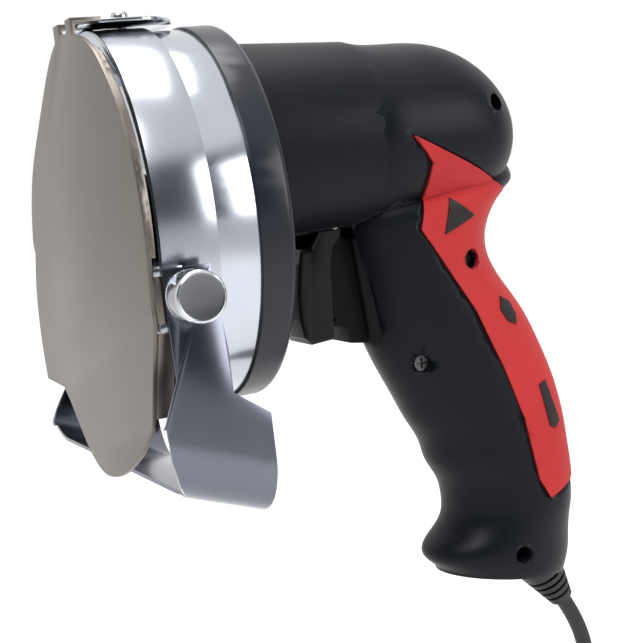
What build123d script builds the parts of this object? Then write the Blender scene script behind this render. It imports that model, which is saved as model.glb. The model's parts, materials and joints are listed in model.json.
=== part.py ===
"""Hand-held electric meat slicer: a round blade in a steel drum, a pistol-grip motor body, a swinging guide plate,
a slice guard under the drum and a mains lead folded into a tied hank.

Frame: origin at the middle of the grip, +X to the rear, +Z up, the blade faces -X, the knob side is -Y. Millimetres.
"""
import os
from math import cos, radians, sin

from build123d import *

os.makedirs("parts", exist_ok=True)

# ---------------------------------------------------------------- driving sizes
blade_d = 100.0            # cutting blade, outside
blade_t = 1.5              # blade sheet
blade_dish = 4.0           # how far the rim stands in front of the middle
blade_clear = 3.8          # blade edge to the drum wall
drum_wall = 2.0            # drum wall
band_t = 1.2               # sheet of the blade band round the drum
sheet_t = 1.2              # sheet of guide plate, strap and slice guard
ring_over = 0.7            # gearbox cover stands proud of the drum
axis_z = 78.0              # blade axis above the grip
ring_back = -80.0          # rear face of the gearbox cover
ring_len = 10.5            # gearbox cover, front to back
cover_wall = 3.5           # rear wall of the gearbox cover
drum_len = 27.7            # drum in front of the gearbox cover
bulkhead_t = 3.0           # wall across the drum
bulkhead_in = 12.5         # that wall in front of the gearbox cover
band_len = 15.8            # blade band, front to back
blade_front = 1.8          # blade rim in front of the drum rim

shell_wall = 3.0           # plastic shell
insert_depth = 1.6         # soft insert let into the shell
insert_proud = 0.5         # soft insert above the shell
insert_gap = 0.35          # groove round the soft insert
inlay_proud = 0.4          # dark inlays above the insert
motor_rise = 19.0          # motor axis above the blade axis
motor_r = 22.0             # motor can
motor_len = 56.0           # motor can
motor_wall = 1.5           # motor can sheet
rotor_r = 13.0             # armature stack
air_gap = 0.6              # armature to magnets
commutator_r = 8.0
fan_r = 19.0

spindle_r = 4.0            # blade spindle
shaft_r = 2.5              # motor shaft
bearing_r = 11.0           # front spindle bearing, outside
bearing_w = 7.0            # front spindle bearing
rear_bearing_r = 8.0       # rear spindle bearing, outside
rear_bearing_w = 5.0       # rear spindle bearing
motor_bearing_r = 6.5      # motor bearings, outside
motor_bearing_w = 5.0      # motor bearings
run_clear = 0.05           # running clearance on a radius
seat_clear = 0.02          # seat clearance on a radius
gear_teeth = 29
pinion_teeth = 9
gear_w = 8.0               # gear face width
tooth_h = 1.2              # tooth height

guide_open = 4.5           # angle of the guide plate as it stands, degrees
guide_gap = 1.8            # guide plate to blade rim when shut
hinge_drop = 19.0          # middle of the guide hinge below the blade axis
hinge_h = 12.0             # guide hinge tab
pin_r = 1.0                # hinge pin
strap_half = 17.0          # adjusting strap half width
strap_gap = 0.3            # strap above the blade band
strap_screw_x = -106.0
strap_screw_r = 1.5
guard_half = 59.5          # slice guard, middle plane to the inside of an arm
guard_corner = 17.0        # slice guard, inner bend radius
knob_r = 6.8               # clamp knob
knob_len = 9.6             # clamp knob
knob_axis_x = -113.3
knob_drop = 18.6           # knob axis below the blade axis
stud_r = 2.5               # knob stud

trigger_half = 10.0        # trigger half width
trigger_wall = 1.6         # trigger shell
trigger_pin_r = 1.5
trigger_pin_x = -50.0
trigger_pin_z = 70.5
screw_r = 1.4              # housing screw shank
screw_head_r = 2.5         # housing screw head
screw_hole_r = 2.8         # sunk hole over the screw head

cover_screw_r = 1.6        # screws through the gearbox cover into the drum's pillars
pillar_reach = 40.0        # pillars from the blade axis
pillar_r = 4.0
pillar_thread = 9.0
flange_screw_r = 1.1       # screws through the gearbox cover into the shell's edge
flange_reach = 29.8        # those screws from the motor axis
flange_thread = 7.0

cord_d = 5.6               # mains lead
hank_turn_r = 18.0         # fold radius of the hank, to the lead's middle
hank_run = 95.0            # straight runs of the hank
hank_pitch = 5.9           # from turn to turn across the hank
hank_turns = 4             # full turns, and half a turn more
plug_w = 35.0
plug_t = 15.0
plug_h = 36.0
plug_pin_r = 2.4
plug_root_r = 1.6          # pin inside the plug
plug_pin_len = 19.0
plug_pin_gap = 19.0

# ---------------------------------------------------------------- sizes that follow
blade_r = blade_d / 2
drum_in_r = blade_r + blade_clear
drum_r = drum_in_r + drum_wall
band_r = drum_r + band_t
ring_r = drum_r + ring_over
motor_z = axis_z + motor_rise
ring_front = ring_back - ring_len
drum_front = ring_front - drum_len
band_back = drum_front + band_len
bulkhead_x = ring_front - bulkhead_in
blade_rim_x = drum_front - blade_front
blade_mid_x = blade_rim_x + blade_dish
cover_wall_x = ring_back - cover_wall
rear_seat_x = cover_wall_x - rear_bearing_w + 1.5
gear_x = rear_seat_x - 1.0 - gear_w
knob_z = axis_z - knob_drop
hinge_z = axis_z - hinge_drop
guide_x = blade_rim_x - guide_gap
hinge_y = -(band_r + 0.4)
hinge_x = guide_x + 1.5
motor_front = ring_back + 2.0
motor_back = motor_front + motor_len
gear_sum = motor_rise - 0.2
gear_r = gear_sum * gear_teeth / (gear_teeth + pinion_teeth)
pinion_r = gear_sum - gear_r
magnet_in_r = rotor_r + air_gap
motor_in_r = motor_r - motor_wall

# height of the middle, tilt, front, back and half width of the grip's level sections
grip_sections = [
    (96.0, 0, -43.0, 6.0, 21.0),
    (73.0, 0, -46.5, 13.6, 22.0),
    (62.0, 0, -46.0, 6.6, 21.5),
    (52.0, 0, -43.6, 7.4, 20.6),
    (36.5, 0, -40.2, 16.8, 20.0),
    (22.5, 0, -35.4, 23.4, 19.6),
    (9.0, 0, -29.3, 27.9, 19.5),
    (2.0, 0, -26.1, 29.4, 19.5),
    (-6.0, 0, -22.0, 30.4, 19.5),
    (-13.0, 0, -20.2, 30.8, 19.5),
    (-20.0, 0, -16.6, 31.1, 19.5),
    (-27.0, 0, -15.4, 31.0, 19.5),
    (-33.0, 0, -16.2, 30.6, 19.5),
    (-38.0, 1, -19.6, 29.4, 19.5),
    (-43.0, 3, -24.2, 28.6, 19.5),
    (-49.0, 6, -24.2, 27.6, 19.2),
    (-54.3, 9, -20.8, 25.4, 18.0),
]
# place along X, lowest, highest and half width of the barrel's upright sections
barrel_sections = [
    (ring_back, 66.0, 129.0, 31.3),
    (-38.0, 67.0, 127.0, 30.4),
    (-14.0, 68.5, 125.0, 29.2),
    (1.0, 71.0, 120.8, 26.2),
    (10.0, 75.0, 114.2, 21.2),
    (15.6, 80.5, 107.6, 14.6),
    (18.8, 90.0, 101.0, 6.0),
]
overshoot = 1.0            # cutting bodies pass the faces they open


# ---------------------------------------------------------------- helpers
def side_plane(x=0.0, z=0.0, y=0.0):
    """XZ plane whose normal points to the left side, -Y."""
    return Plane(origin=(x, y, z), x_dir=(1, 0, 0), z_dir=(0, -1, 0))


def rear_plane(x, z=axis_z, y=0.0):
    """Upright plane across the tool that faces the rear: sketch x is +Y, sketch y is +Z."""
    return Plane(origin=(x, y, z), x_dir=(0, 1, 0), z_dir=(1, 0, 0))


def level_plane(z, x=0.0, y=0.0):
    """Level plane that faces up."""
    return Plane(origin=(x, y, z), x_dir=(1, 0, 0), z_dir=(0, 0, 1))


def disc(plane, radius, length, bore=0.0):
    """A plain round or ring extruded from a plane."""
    with BuildPart() as item:
        with BuildSketch(plane):
            Circle(radius)
            if bore:
                Circle(bore, mode=Mode.SUBTRACT)
        extrude(amount=length)
    return item.part


def prism(plane, points, depth, both=False):
    """A straight-sided block over a closed outline."""
    with BuildPart() as item:
        with BuildSketch(plane):
            with BuildLine():
                Polyline(*points, close=True)
            make_face()
        extrude(amount=depth, both=both)
    return item.part


def half_oval(radius_x, radius_y, over):
    """Lower half of an oval; its flat side is moved up by over."""
    with BuildSketch() as oval:
        with BuildLine():
            EllipticalCenterArc((0, 0), radius_x, radius_y, start_angle=180, arc_size=180)
            if over:
                Polyline((radius_x, 0), (radius_x, over), (-radius_x, over), (-radius_x, 0))
            else:
                Line((radius_x, 0), (-radius_x, 0))
        make_face()
    return oval.sketch


def grip_form(grow, over=0.0):
    """Left half of the grip's outside, grown or shrunk by a wall."""
    lowest = grip_sections[-1][0]
    with BuildPart() as grip:
        for height, tilt, front, back, half in grip_sections:
            drop = grow if height == lowest else 0.0
            with BuildSketch(Plane(origin=((front + back) / 2, 0, height - drop)).rotated((0, tilt, 0))):
                add(half_oval((back - front) / 2 + grow, half + grow, over))
        loft()
    return grip.part


def barrel_form(grow, over=0.0):
    """Left half of the motor barrel and its rear hood, grown or shrunk by a wall."""
    first = barrel_sections[0][0]
    last = barrel_sections[-1][0]
    with BuildPart() as barrel:
        for place, low, high, half in barrel_sections[:2]:
            shift = {first: -over}.get(place, 0.0)
            with BuildSketch(Plane(origin=(place + shift, 0, (low + high) / 2), x_dir=(0, 0, -1), z_dir=(1, 0, 0))):
                add(half_oval((high - low) / 2 + grow, half + grow, over))
        loft(ruled=True)
    with BuildPart() as hood:
        for place, low, high, half in barrel_sections[1:]:
            shift = {last: grow}.get(place, 0.0)
            with BuildSketch(Plane(origin=(place + shift, 0, (low + high) / 2), x_dir=(0, 0, -1), z_dir=(1, 0, 0))):
                add(half_oval((high - low) / 2 + grow, half + grow, over))
        loft()
    return barrel.part + hood.part


def write(piece, name):
    """Label a piece and write its file."""
    piece.label = name
    export_step(piece, f"parts/{name}.step")


def other_side(piece):
    """The same piece on the far side of the tool."""
    return piece.mirror(Plane.XZ)


# ---------------------------------------------------------------- body shells, soft inserts and inlays
screw_spots = [(5.2, 102.4), (-6.6, 54.0), (-25.8, 22.8), (1.0, -45.4)]
insert_top = (-30.2, 95.4)
insert_outline = [
    insert_top, (6.0, 78.0), (20.0, 70.0), (46.0, 60.0), (46.0, -22.0), (33.0, -24.0), (13.5, -29.0),
    (9.5, -21.6), (6.2, -1.0), (0.5, 17.0), (-8.2, 37.8), (-18.9, 55.3), (-25.4, 65.6), (-23.3, 75.0), (-22.3, 85.6),
]
inlay_outlines = {
    "triangle": [(-14.5, 74.5), (-4.8, 67.8), (-17.2, 63.2)],
    "lozenge": [(3.4, 40.6), (7.6, 38.2), (9.4, 33.8), (8.6, 30.6), (4.8, 32.2), (2.2, 36.4)],
    "pad": [(14.6, 9.4), (18.2, 10.2), (22.6, -4.4), (19.4, -6.2), (17.0, -5.0)],
}


def insert_block(margin):
    """Side prism over the soft insert's outline, drawn in by a margin."""
    with BuildPart() as block:
        with BuildSketch(side_plane(y=0)):
            with BuildLine():
                Polyline(*insert_outline, close=True)
            make_face()
            if margin:
                offset(amount=-margin)
        extrude(amount=45)
    return block.part


outer_half = grip_form(0) + barrel_form(0)
proud_half = grip_form(insert_proud) + barrel_form(insert_proud)
inlay_half = grip_form(insert_proud + inlay_proud) + barrel_form(insert_proud + inlay_proud)
bed_grip = grip_form(-insert_depth, overshoot)
bed_barrel = barrel_form(-insert_depth, overshoot)

soft_pocket = insert_block(0) - bed_barrel - bed_grip
inlay_blocks = [prism(side_plane(), outline, 45) for outline in inlay_outlines.values()]
soft_insert = (proud_half & insert_block(insert_gap)) - bed_barrel - bed_grip
inlays = (inlay_half & inlay_blocks[0]) + (inlay_half & inlay_blocks[1]) + (inlay_half & inlay_blocks[2])
inlays = inlays - bed_barrel - bed_grip
for block in inlay_blocks:
    soft_insert = soft_insert - block

bosses = Part() + [disc(side_plane(x, z), screw_head_r + 2.2, 40) & outer_half for x, z in screw_spots]
motor_ribs = Part() + [disc(rear_plane(x, motor_z), 34, 3) & outer_half for x in (motor_front + 6, motor_back - 12)]
motor_room = disc(rear_plane(ring_back - overshoot, motor_z), motor_r + 0.15, motor_len + 16)
left_shell = outer_half - barrel_form(-shell_wall, overshoot) - grip_form(-shell_wall, overshoot)
left_shell = left_shell + bosses + (motor_ribs - motor_room)
right_shell = left_shell

seat_depth = 11.0          # seats of the screw heads, out from the middle
thread_depth = 13.0        # screw length past the middle
pin_reach = trigger_half + 2.4
pin_hole = disc(side_plane(trigger_pin_x, trigger_pin_z, pin_reach), trigger_pin_r, 2 * pin_reach)
trigger_slot = prism(
    side_plane(), [(-70, 75), (-41, 75), (-40.5, 64), (-36.5, 33), (-38.5, 30.5), (-70, 30.5)],
    trigger_half + 1.0, both=True,
)
relief_seat = Plane(origin=(16.0, 0, -54.0), x_dir=(0, 1, 0), z_dir=(0.5, 0, -0.866))
relief_r = 6.2
relief_bore = disc(relief_seat.offset(-12), relief_r, 40)
with BuildPart() as flange_bores:
    with BuildSketch(rear_plane(ring_back, motor_z)):
        with PolarLocations(flange_reach, 4, start_angle=45):
            Circle(flange_screw_r)
    extrude(amount=flange_thread)

with BuildPart() as housing_left:
    add(left_shell)
    add(soft_pocket, mode=Mode.SUBTRACT)
    add(trigger_slot, mode=Mode.SUBTRACT)
    add(relief_bore, mode=Mode.SUBTRACT)
    add(pin_hole, mode=Mode.SUBTRACT)
    add(flange_bores.part, mode=Mode.SUBTRACT)
    for x, z in screw_spots:
        with BuildSketch(side_plane(x, z, -seat_depth)):
            Circle(screw_hole_r)
        extrude(amount=40, mode=Mode.SUBTRACT)
        with BuildSketch(side_plane(x, z)):
            Circle(screw_r + 0.1)
        extrude(amount=seat_depth, mode=Mode.SUBTRACT)
write(housing_left.part, "housing_left")

with BuildPart() as housing_right:
    add(other_side(left_shell))
    add(other_side(soft_pocket), mode=Mode.SUBTRACT)
    add(trigger_slot, mode=Mode.SUBTRACT)
    add(relief_bore, mode=Mode.SUBTRACT)
    add(pin_hole, mode=Mode.SUBTRACT)
    add(flange_bores.part, mode=Mode.SUBTRACT)
    for x, z in screw_spots:
        with BuildSketch(side_plane(x, z, thread_depth)):
            Circle(screw_r)
        extrude(amount=thread_depth, mode=Mode.SUBTRACT)
write(housing_right.part, "housing_right")

with BuildPart() as housing_screws:
    for x, z in screw_spots:
        with BuildSketch(side_plane(x, z, thread_depth)):
            Circle(screw_r)
        extrude(amount=thread_depth + seat_depth)
        with BuildSketch(side_plane(x, z, -seat_depth)):
            Circle(screw_head_r)
        extrude(amount=2.2)
        with BuildSketch(side_plane(x, z, -seat_depth - 2.2)):
            Rectangle(3.4, 0.7)
            Rectangle(0.7, 3.4)
        extrude(amount=-1.2, mode=Mode.SUBTRACT)
write(housing_screws.part, "housing_screws")

screw_passage = Part() + [disc(side_plane(x, z), screw_hole_r + 0.4, 45) for x, z in screw_spots[:2]]
soft_insert = soft_insert - screw_passage
write(soft_insert, "grip_insert_left")
write(other_side(soft_insert), "grip_insert_right")
write(inlays, "grip_inlays_left")
write(other_side(inlays), "grip_inlays_right")

# ---------------------------------------------------------------- gearbox cover, drum and blade band
with BuildPart() as gearbox_cover:
    with BuildSketch(rear_plane(ring_front)):
        Circle(ring_r)
    extrude(amount=ring_len)
    fillet(gearbox_cover.faces().sort_by(Axis.X)[-1].edges(), radius=2.4)
    fillet(gearbox_cover.faces().sort_by(Axis.X)[0].edges(), radius=0.6)
    with BuildSketch(rear_plane(ring_front)):
        Circle(drum_in_r - 2)
    extrude(amount=ring_len - cover_wall, mode=Mode.SUBTRACT)
    with BuildSketch(rear_plane(cover_wall_x - rear_bearing_w + 1.5)):
        Circle(rear_bearing_r + 2)
    extrude(amount=rear_bearing_w - 1.5)
    with BuildSketch(rear_plane(cover_wall_x - rear_bearing_w + 1.5)):
        Circle(rear_bearing_r + seat_clear)
    extrude(amount=rear_bearing_w, mode=Mode.SUBTRACT)
    with BuildSketch(rear_plane(ring_back, motor_z)):
        Circle(motor_bearing_r + 1.5)
    extrude(amount=-cover_wall, mode=Mode.SUBTRACT)
    with BuildSketch(rear_plane(cover_wall_x)):
        with PolarLocations(pillar_reach, 3, start_angle=30):
            Circle(cover_screw_r + 0.1)
    extrude(amount=cover_wall, mode=Mode.SUBTRACT)
    with BuildSketch(rear_plane(cover_wall_x, motor_z)):
        with PolarLocations(flange_reach, 4, start_angle=45):
            Circle(flange_screw_r + 0.1)
    extrude(amount=cover_wall, mode=Mode.SUBTRACT)
write(gearbox_cover.part, "gearbox_cover")

open_from = -72.0          # open side of drum and band, degrees below and above +Y
open_to = 52.0
window = [(0.0, 0.0)] + [
    (90 * cos(radians(turn)), 90 * sin(radians(turn)))
    for turn in (open_from, open_from + 41, open_to - 41, open_to)
]
window_len = blade_dish + blade_front + 6.0

with BuildPart() as drum:
    with BuildSketch(rear_plane(drum_front)):
        Circle(drum_r)
        Circle(drum_in_r, mode=Mode.SUBTRACT)
    extrude(amount=drum_len)
    with BuildSketch(rear_plane(bulkhead_x)):
        Circle(drum_in_r)
    extrude(amount=bulkhead_t)
    with BuildSketch(rear_plane(bulkhead_x + bulkhead_t)):
        with PolarLocations(pillar_reach, 3, start_angle=30):
            Circle(pillar_r)
    extrude(amount=cover_wall_x - bulkhead_x - bulkhead_t)
    with BuildSketch(rear_plane(cover_wall_x)):
        with PolarLocations(pillar_reach, 3, start_angle=30):
            Circle(cover_screw_r)
    extrude(amount=-pillar_thread, mode=Mode.SUBTRACT)
    with BuildSketch(rear_plane(bulkhead_x - 2)):
        Circle(bearing_r + 2.5)
    extrude(amount=bearing_w + 1)
    with BuildSketch(rear_plane(bulkhead_x - 2)):
        Circle(bearing_r - 2)
    extrude(amount=bearing_w + 1, mode=Mode.SUBTRACT)
    with BuildSketch(rear_plane(bulkhead_x - 1)):
        Circle(bearing_r + seat_clear)
    extrude(amount=bearing_w, mode=Mode.SUBTRACT)
    with BuildSketch(rear_plane(drum_front)):
        with BuildLine():
            Polyline(*window, close=True)
        make_face()
        Circle(drum_in_r - 1, mode=Mode.SUBTRACT)
    extrude(amount=window_len, mode=Mode.SUBTRACT)
    with BuildSketch(level_plane(axis_z, strap_screw_x)):
        Circle(strap_screw_r)
    extrude(amount=drum_r + 5, mode=Mode.SUBTRACT)
write(drum.part, "drum")

with BuildPart() as blade_band:
    with BuildSketch(rear_plane(drum_front)):
        Circle(band_r)
        Circle(drum_r, mode=Mode.SUBTRACT)
    extrude(amount=band_len)
    with BuildSketch(rear_plane(drum_front)):
        with BuildLine():
            Polyline(*window, close=True)
        make_face()
    extrude(amount=band_len, mode=Mode.SUBTRACT)
    with BuildSketch(level_plane(axis_z, strap_screw_x)):
        Circle(strap_screw_r)
    extrude(amount=band_r + 5, mode=Mode.SUBTRACT)
write(blade_band.part, "blade_band")

# ---------------------------------------------------------------- blade, spindle and gear train
with BuildPart() as blade:
    with BuildSketch(side_plane()):
        with BuildLine():
            Polyline(
                (blade_mid_x, axis_z + 3.0),
                (blade_mid_x, axis_z + 24.0),
                (blade_rim_x + 0.6, axis_z + blade_r - 3.0),
                (blade_rim_x, axis_z + blade_r),
                (blade_rim_x + 0.25, axis_z + blade_r),
                (blade_rim_x + 0.6 + blade_t, axis_z + blade_r - 4.0),
                (blade_mid_x + blade_t, axis_z + 24.4),
                (blade_mid_x + blade_t, axis_z + 3.0),
                close=True,
            )
        make_face()
    revolve(axis=Axis((0, 0, axis_z), (1, 0, 0)))
write(blade.part, "blade")

hub_len = bulkhead_x - 2.0 - 0.6 - (blade_mid_x + blade_t)
hub_x = blade_mid_x + blade_t
with BuildPart() as blade_hub:
    with BuildSketch(rear_plane(hub_x)):
        Circle(15)
    extrude(amount=hub_len)
    with BuildSketch(rear_plane(hub_x)):
        Circle(spindle_r)
    extrude(amount=hub_len, mode=Mode.SUBTRACT)
write(blade_hub.part, "blade_hub")

nut_t = 3.0
with BuildPart() as blade_nut:
    with BuildSketch(rear_plane(blade_mid_x - nut_t)):
        RegularPolygon(5.5, 6)
        Circle(3.0, mode=Mode.SUBTRACT)
    extrude(amount=nut_t)
write(blade_nut.part, "blade_nut")

with BuildPart() as spindle:
    with BuildSketch(rear_plane(hub_x)):
        Circle(spindle_r)
    extrude(amount=rear_seat_x + rear_bearing_w - 0.5 - hub_x)
    with BuildSketch(rear_plane(blade_mid_x - nut_t)):
        Circle(3.0)
    extrude(amount=nut_t + blade_t)
write(spindle.part, "spindle")

front_bearing_x = bulkhead_x - 1
with BuildPart() as bearing_front:
    with BuildSketch(rear_plane(front_bearing_x)):
        Circle(bearing_r)
        Circle(spindle_r + run_clear, mode=Mode.SUBTRACT)
    extrude(amount=bearing_w)
write(bearing_front.part, "spindle_bearing_front")

with BuildPart() as bearing_rear:
    with BuildSketch(rear_plane(rear_seat_x)):
        Circle(rear_bearing_r)
        Circle(spindle_r + run_clear, mode=Mode.SUBTRACT)
    extrude(amount=rear_bearing_w)
write(bearing_rear.part, "spindle_bearing_rear")


def toothed_wheel(x, height, tip_r, teeth, width, bore):
    """A spur wheel with straight-flanked teeth."""
    pitch = 360 / teeth
    wide = radians(pitch) * (tip_r - tooth_h) * 0.52
    with BuildPart() as wheel:
        with BuildSketch(rear_plane(x, height)):
            Circle(tip_r - tooth_h)
            with PolarLocations(tip_r - tooth_h / 2 - 0.1, teeth):
                Rectangle(tooth_h + 0.2, wide)
            Circle(bore, mode=Mode.SUBTRACT)
        extrude(amount=width)
    return wheel.part


write(toothed_wheel(gear_x, axis_z, gear_r, gear_teeth, gear_w, spindle_r), "drive_gear")
write(toothed_wheel(gear_x, motor_z, pinion_r, pinion_teeth, gear_w, shaft_r), "motor_pinion")

# ---------------------------------------------------------------- motor
with BuildPart() as motor_can:
    with BuildSketch(rear_plane(motor_front, motor_z)):
        Circle(motor_r)
    extrude(amount=motor_len)
    with BuildSketch(rear_plane(motor_front, motor_z)):
        Circle(motor_in_r)
    extrude(amount=motor_len - 2, mode=Mode.SUBTRACT)
    with BuildSketch(rear_plane(motor_back - 2, motor_z)):
        Circle(motor_bearing_r + 1.5)
    extrude(amount=motor_bearing_w)
    with BuildSketch(rear_plane(motor_back - 2, motor_z)):
        Circle(motor_bearing_r + seat_clear)
    extrude(amount=motor_bearing_w, mode=Mode.SUBTRACT)
write(motor_can.part, "motor_can")

with BuildPart() as motor_plate:
    with BuildSketch(rear_plane(motor_front, motor_z)):
        Circle(motor_in_r)
    extrude(amount=3)
    with BuildSketch(rear_plane(motor_front - 2, motor_z)):
        Circle(motor_bearing_r + 1.4)
    extrude(amount=5)
    with BuildSketch(rear_plane(motor_front - 2, motor_z)):
        Circle(motor_bearing_r + seat_clear)
    extrude(amount=5, mode=Mode.SUBTRACT)
write(motor_plate.part, "motor_end_plate")

with BuildPart() as motor_bearings:
    for x in (motor_front - 2, motor_back - 2):
        with BuildSketch(rear_plane(x, motor_z)):
            Circle(motor_bearing_r)
            Circle(shaft_r + run_clear, mode=Mode.SUBTRACT)
        extrude(amount=motor_bearing_w)
write(motor_bearings.part, "motor_bearings")

magnet_x = motor_front + 6
magnet_len = 30.0
with BuildPart() as magnets:
    with BuildSketch(rear_plane(magnet_x, motor_z)):
        Circle(motor_in_r)
        Circle(magnet_in_r, mode=Mode.SUBTRACT)
        Rectangle(12, 2 * motor_r, mode=Mode.SUBTRACT)
    extrude(amount=magnet_len)
write(magnets.part, "motor_magnets")

shaft_back = motor_back + 11
with BuildPart() as motor_shaft:
    with BuildSketch(rear_plane(gear_x, motor_z)):
        Circle(shaft_r)
    extrude(amount=shaft_back - gear_x)
write(motor_shaft.part, "motor_shaft")

with BuildPart() as armature:
    with BuildSketch(rear_plane(magnet_x, motor_z)):
        Circle(rotor_r)
        with PolarLocations(rotor_r - 1, 8):
            Rectangle(3, 1.6, mode=Mode.SUBTRACT)
        Circle(shaft_r, mode=Mode.SUBTRACT)
    extrude(amount=magnet_len)
write(armature.part, "armature")

commutator_x = magnet_x + magnet_len + 3
commutator_len = 9.0
with BuildPart() as commutator:
    with BuildSketch(rear_plane(commutator_x, motor_z)):
        Circle(commutator_r)
        Circle(shaft_r, mode=Mode.SUBTRACT)
    extrude(amount=commutator_len)
write(commutator.part, "commutator")

brush_len = motor_in_r - commutator_r - 0.1 - 0.2
brush_mid = commutator_r + 0.1 + brush_len / 2
with BuildPart() as brushes:
    with Locations(*[(commutator_x + commutator_len / 2, side * brush_mid, motor_z) for side in (-1, 1)]):
        Box(6, brush_len, 5)
write(brushes.part, "carbon_brushes")

fan_x = motor_back + motor_bearing_w + 0.5
fan_len = 5.0
with BuildPart() as fan:
    with BuildSketch(rear_plane(fan_x, motor_z)):
        Circle(5)
        with PolarLocations(fan_r / 2, 9):
            Rectangle(fan_r - 2, 1.4, rotation=0)
        Circle(shaft_r, mode=Mode.SUBTRACT)
    extrude(amount=fan_len)
    with BuildSketch(rear_plane(fan_x, motor_z)):
        Circle(fan_r - 1)
        Circle(shaft_r, mode=Mode.SUBTRACT)
    extrude(amount=1)
write(fan.part, "cooling_fan")


# ---------------------------------------------------------------- screws that hold drum, cover and motor
with BuildPart() as drum_screws:
    with BuildSketch(rear_plane(ring_back)):
        with PolarLocations(pillar_reach, 3, start_angle=30):
            Circle(3.0)
    extrude(amount=2.2)
    with BuildSketch(rear_plane(ring_back + 1.0)):
        with PolarLocations(pillar_reach, 3, start_angle=30):
            Rectangle(4.0, 0.8)
    extrude(amount=1.2, mode=Mode.SUBTRACT)
    with BuildSketch(rear_plane(ring_back)):
        with PolarLocations(pillar_reach, 3, start_angle=30):
            Circle(cover_screw_r)
    extrude(amount=-(cover_wall + pillar_thread))
write(drum_screws.part, "drum_screws")

with BuildPart() as flange_screws:
    with BuildSketch(rear_plane(cover_wall_x, motor_z)):
        with PolarLocations(flange_reach, 4, start_angle=45):
            Circle(flange_screw_r)
    extrude(amount=cover_wall + flange_thread)
    with BuildSketch(rear_plane(cover_wall_x, motor_z)):
        with PolarLocations(flange_reach, 4, start_angle=45):
            Circle(2.1)
    extrude(amount=-1.8)
write(flange_screws.part, "flange_screws")

# ---------------------------------------------------------------- slice guard and its clamp knobs
post_top = guard_half - 0.3
post_r = stud_r + 1.6
with BuildPart() as knob_studs:
    for side in (-1, 1):
        post_plane = Plane(origin=(knob_axis_x, side * post_top, knob_z), x_dir=(1, 0, 0), z_dir=(0, side, 0))
        with BuildSketch(post_plane):
            Circle(post_r)
        extrude(amount=-8)
        with BuildSketch(post_plane):
            Circle(stud_r)
        extrude(amount=8.5)
    with Locations((knob_axis_x - post_r, post_top, knob_z)):
        Box(20, 5.5, 2 * post_r, align=(Align.MIN, Align.MAX, Align.CENTER))
    with BuildSketch(rear_plane(drum_front - 5)):
        with BuildLine():
            Polyline((0, 90), (0, -90), (-90, -90), (-90, 90), close=True)
        make_face()
        Circle(band_r, mode=Mode.INTERSECT)
    extrude(amount=40, mode=Mode.SUBTRACT)
    with BuildSketch(rear_plane(drum_front - 5)):
        Circle(drum_r)
    extrude(amount=40, mode=Mode.SUBTRACT)
write(knob_studs.part, "knob_studs")

washer_t = 0.8
for side, name in ((-1, "left"), (1, "right")):
    with BuildPart() as washer:
        with BuildSketch(Plane(origin=(knob_axis_x, side * (guard_half + sheet_t), knob_z), x_dir=(1, 0, 0),
                               z_dir=(0, side, 0))):
            Circle(5.0)
            Circle(stud_r + 0.15, mode=Mode.SUBTRACT)
        extrude(amount=washer_t)
    write(washer.part, f"knob_washer_{name}")
    knob_y = side * (guard_half + sheet_t + washer_t)
    with BuildPart() as knob:
        with BuildSketch(Plane(origin=(knob_axis_x, knob_y, knob_z), x_dir=(1, 0, 0), z_dir=(0, side, 0))):
            Circle(knob_r)
        extrude(amount=knob_len)
        chamfer(knob.edges().filter_by(GeomType.CIRCLE), length=0.5)
        with BuildSketch(Plane(origin=(knob_axis_x, knob_y, knob_z), x_dir=(1, 0, 0), z_dir=(0, side, 0))):
            Circle(stud_r + run_clear)
        extrude(amount=knob_len - 2.2, mode=Mode.SUBTRACT)
    write(knob.part, f"clamp_knob_{name}")

guard_slope = 11.0 / 30.0  # fall of the guard's floor per length
guard_floor_z = 8.0        # floor height under the rim
guard_front = -133.0
guard_back = -95.2
guard_low_front = guard_floor_z + guard_slope * (drum_front - 7.8 - guard_front)
arm_top = knob_z + 7.5
near_front = [
    (-123.9, 26.0), (-123.2, 17.0), (-120.8, 9.5), (-117.6, 4.0), (-112.0, -1.5), (-112.0, -30.0), (-150.0, -30.0),
    (-150.0, 26.0),
]
guard_side = [
    (knob_axis_x - 6.5, arm_top), (knob_axis_x - 6.5, knob_z - 8.0), (-119.6, 38.0), (-123.9, 27.0), (guard_front, 14.0),
    (guard_front, -12.0), (guard_back - 1.5, -12.0), (guard_back - 0.4, 1.0), (guard_back + 0.6, 25.0),
    (-104.8, 32.5), (knob_axis_x + 8.5, 44.0), (knob_axis_x + 7.5, knob_z - 4.0), (knob_axis_x + 6.5, arm_top),
]
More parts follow.
